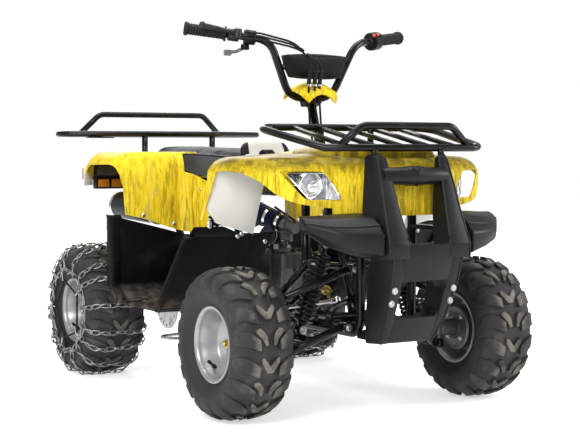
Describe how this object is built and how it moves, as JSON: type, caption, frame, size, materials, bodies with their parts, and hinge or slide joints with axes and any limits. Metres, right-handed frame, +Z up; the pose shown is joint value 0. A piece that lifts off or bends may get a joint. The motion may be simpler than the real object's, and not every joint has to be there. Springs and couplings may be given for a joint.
{
  "type": "quad bike",
  "caption": "Youth quad bike with racks, bumper, steering front wheels and chained rear wheels on a solid axle.",
  "frame": {"origin": "on the ground, in the middle of the overall length and width", "axes": "+Z up, the front of the vehicle to -Y, its right side to -X"},
  "size_m": [0.948, 1.7074, 1.0733],
  "materials": {
    "tyre_rubber": "matt, dusty on the tread",
    "rim_silver": "silver grey paint, worn",
    "hub_iron": "dull grey",
    "chain_steel": "bright zinc plated",
    "axle_steel": "turned steel",
    "frame_paint": "gloss black paint",
    "spring_paint": "black coated springs",
    "chrome_rod": "bright",
    "black_plastic": "moulded, fine grain",
    "grip_rubber": "matt",
    "lever_alloy": "dull alloy",
    "panel_yellow": "glossy yellow with dark streaks",
    "seat_cover": "grained cover",
    "engine_alloy": "cast alloy",
    "exhaust_steel": "heat resistant black",
    "lamp_clear": "clear lens over a bright reflector",
    "lamp_red": "clear over amber and red"
  },
  "bodies": {
    "chassis": {"carburettor": "engine_alloy", "drive_chain": "chain_steel", "engine": "engine_alloy", "exhaust": "exhaust_steel", "foot_brake": "chrome_rod", "footwell_left": "black_plastic", "footwell_right": "black_plastic", "frame": "frame_paint", "front_bumper": "black_plastic", "front_fender": "panel_yellow", "front_rack": "frame_paint", "front_shocks": "spring_paint", "fuel_cap": "black_plastic", "headlamps": "lamp_clear", "rear_fender": "panel_yellow", "rear_rack": "frame_paint", "rear_shock": "spring_paint", "seat": "seat_cover", "swingarm": "frame_paint", "tail_lamps": "lamp_red", "tank_cover": "panel_yellow", "wishbones_left": "frame_paint", "wishbones_right": "frame_paint"},
    "steering": {"steering_column": "frame_paint", "handlebar": "frame_paint", "handlebar_pad": "seat_cover", "handlebar_cover": "panel_yellow", "grips": "grip_rubber", "brake_lever": "lever_alloy", "throttle": "black_plastic", "switch_pod": "black_plastic", "control_cables": "grip_rubber"},
    "knuckle_right": {"knuckle_right": "hub_iron"},
    "wheel_front_right": {"tyre_front_right": "tyre_rubber", "rim_front_right": "rim_silver", "hub_front_right": "hub_iron"},
    "tie_rod_right": {"tie_rod_right": "chrome_rod"},
    "knuckle_left": {"knuckle_left": "hub_iron"},
    "wheel_front_left": {"tyre_front_left": "tyre_rubber", "rim_front_left": "rim_silver", "hub_front_left": "hub_iron"},
    "tie_rod_left": {"tie_rod_left": "chrome_rod"},
    "rear_axle": {"rear_axle": "axle_steel", "rim_rear_right": "rim_silver", "tyre_rear_right": "tyre_rubber", "snow_chain_right": "chain_steel", "rim_rear_left": "rim_silver", "tyre_rear_left": "tyre_rubber", "snow_chain_left": "chain_steel"}
  },
  "joints": [
    {"name": "steering", "type": "hinge", "parent": "chassis", "child": "steering", "pos_m": [0, -0.482, 0.29], "axis": [0, 0.3817, 0.9243], "range_deg": [-35, 35]},
    {"name": "knuckle_right", "type": "hinge", "parent": "chassis", "child": "knuckle_right", "pos_m": [-0.27, -0.512, 0.203], "axis": [0, 0, 1], "range_deg": [-27, 27]},
    {"name": "wheel_front_right_spin", "type": "hinge", "parent": "knuckle_right", "child": "wheel_front_right", "pos_m": [-0.388, -0.512, 0.203], "axis": [1, 0, 0], "continuous": true},
    {"name": "tie_rod_right", "type": "hinge", "parent": "steering", "child": "tie_rod_right", "pos_m": [-0.02, -0.43304, 0.29066], "axis": [0, 0.3817, 0.9243], "range_deg": [-38, 38]},
    {"name": "knuckle_left", "type": "hinge", "parent": "chassis", "child": "knuckle_left", "pos_m": [0.27, -0.512, 0.203], "axis": [0, 0, 1], "range_deg": [-27, 27]},
    {"name": "wheel_front_left_spin", "type": "hinge", "parent": "knuckle_left", "child": "wheel_front_left", "pos_m": [0.388, -0.512, 0.203], "axis": [1, 0, 0], "continuous": true},
    {"name": "tie_rod_left", "type": "hinge", "parent": "steering", "child": "tie_rod_left", "pos_m": [0.02, -0.43304, 0.29066], "axis": [0, 0.3817, 0.9243], "range_deg": [-38, 38]},
    {"name": "rear_axle_spin", "type": "hinge", "parent": "chassis", "child": "rear_axle", "pos_m": [0, 0.458, 0.203], "axis": [1, 0, 0], "continuous": true}
  ],
  "couplings": [
    {"joint": "knuckle_right", "follows": "steering", "ratio": 0.74},
    {"joint": "tie_rod_right", "follows": "steering", "ratio": -1.0745},
    {"joint": "knuckle_left", "follows": "steering", "ratio": 0.74},
    {"joint": "tie_rod_left", "follows": "steering", "ratio": -1.0745}
  ]
}
